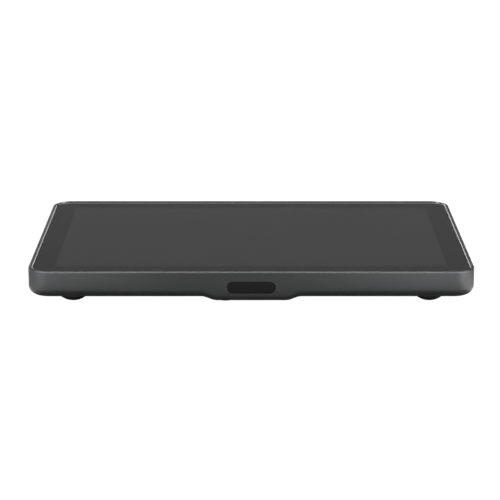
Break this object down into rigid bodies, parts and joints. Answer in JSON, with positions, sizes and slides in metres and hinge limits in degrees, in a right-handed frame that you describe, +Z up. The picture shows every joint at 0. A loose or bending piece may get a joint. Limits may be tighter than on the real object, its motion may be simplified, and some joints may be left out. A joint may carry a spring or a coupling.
{
  "type": "smart display",
  "caption": "Low tabletop touch display: a flat aluminium body with a glass top leans back on a hollow base with rubber feet, a presence-sensor window and a covered cable bay.",
  "frame": {"origin": "on the table, under the middle of the object's outline from side to side and from front to back", "axes": "+X to the viewer's right along the long side, +Y away from the viewer, +Z up"},
  "size_m": [0.2462, 0.164, 0.0563],
  "materials": {
    "anodised_body": "dark grey anodised aluminium, fine bead-blasted, with a bright-cut inner edge",
    "screen_glass": "dark cover glass, glossy, printed black border",
    "adhesive_tape": "black foam tape",
    "panel_glass": "display glass",
    "light_acrylic": "clear light-guide acrylic and films",
    "bare_aluminium": "bare pressed aluminium sheet",
    "plated_steel": "plated steel",
    "circuit_board": "green solder-mask laminate",
    "chip_black": "moulded chip package",
    "connector_cream": "moulded socket",
    "flex_amber": "polyimide ribbon cable",
    "thermal_grey": "thermal pad",
    "window_black": "infrared-passing black plastic",
    "black_plastic": "black moulded plastic",
    "base_plastic": "dark grey moulded plastic, fine grain",
    "foot_rubber": "black rubber",
    "insert_brass": "knurled brass",
    "magnet_nickel": "nickel-plated magnet"
  },
  "bodies": {
    "body": {"housing": "anodised_body", "cover_glass": "screen_glass", "glass_tape": "adhesive_tape", "touch_sensor": "panel_glass", "lcd_panel": "panel_glass", "optical_films": "light_acrylic", "light_guide": "light_acrylic", "led_bar": "circuit_board", "backlight_tray": "plated_steel", "chassis_plate": "bare_aluminium", "chassis_screws": "plated_steel", "main_board": "circuit_board", "board_screws": "plated_steel", "shield_cans": "plated_steel", "thermal_pads": "thermal_grey", "board_chips": "chip_black", "board_sockets": "connector_cream", "antenna_left": "circuit_board", "antenna_right": "circuit_board", "display_ribbon": "flex_amber", "touch_ribbon": "flex_amber", "sensor_ribbon": "flex_amber", "port_ribbon": "flex_amber", "sensor_window": "window_black", "presence_sensor": "plated_steel", "light_sensor": "chip_black", "sensor_board": "circuit_board", "sensor_carrier": "black_plastic", "carrier_screws": "plated_steel", "chin_plug": "foot_rubber", "front_foot_left": "foot_rubber", "front_foot_right": "foot_rubber", "base_shell": "base_plastic", "base_screws": "plated_steel", "mount_inserts": "insert_brass", "rear_foot_left": "foot_rubber", "rear_foot_right": "foot_rubber", "lock_plate": "plated_steel", "ballast_plate": "plated_steel", "port_board": "circuit_board", "port_board_screws": "plated_steel", "port_header": "connector_cream", "power_jack": "black_plastic", "hdmi_port": "plated_steel", "usb_c_port": "plated_steel", "audio_jack": "black_plastic", "reset_switch": "black_plastic", "bay_magnets": "magnet_nickel", "clamp_pin": "plated_steel"},
    "cover": {"cable_cover": "base_plastic", "cover_magnets": "magnet_nickel"},
    "clamp": {"cable_clamp": "black_plastic"},
    "reset": {"reset_button": "black_plastic"}
  },
  "joints": [
    {"name": "cover_slide", "type": "slide", "parent": "body", "child": "cover", "axis": [0, 1, 0], "range_m": [0, 0.06]},
    {"name": "clamp_hinge", "type": "hinge", "parent": "body", "child": "clamp", "pos_m": [0, 0.05, 0.008], "axis": [1, 0, 0], "range_deg": [0, 95]},
    {"name": "reset_press", "type": "slide", "parent": "body", "child": "reset", "axis": [0, -1, 0], "range_m": [0, 0.0006], "stiffness_N_per_m": 800}
  ]
}
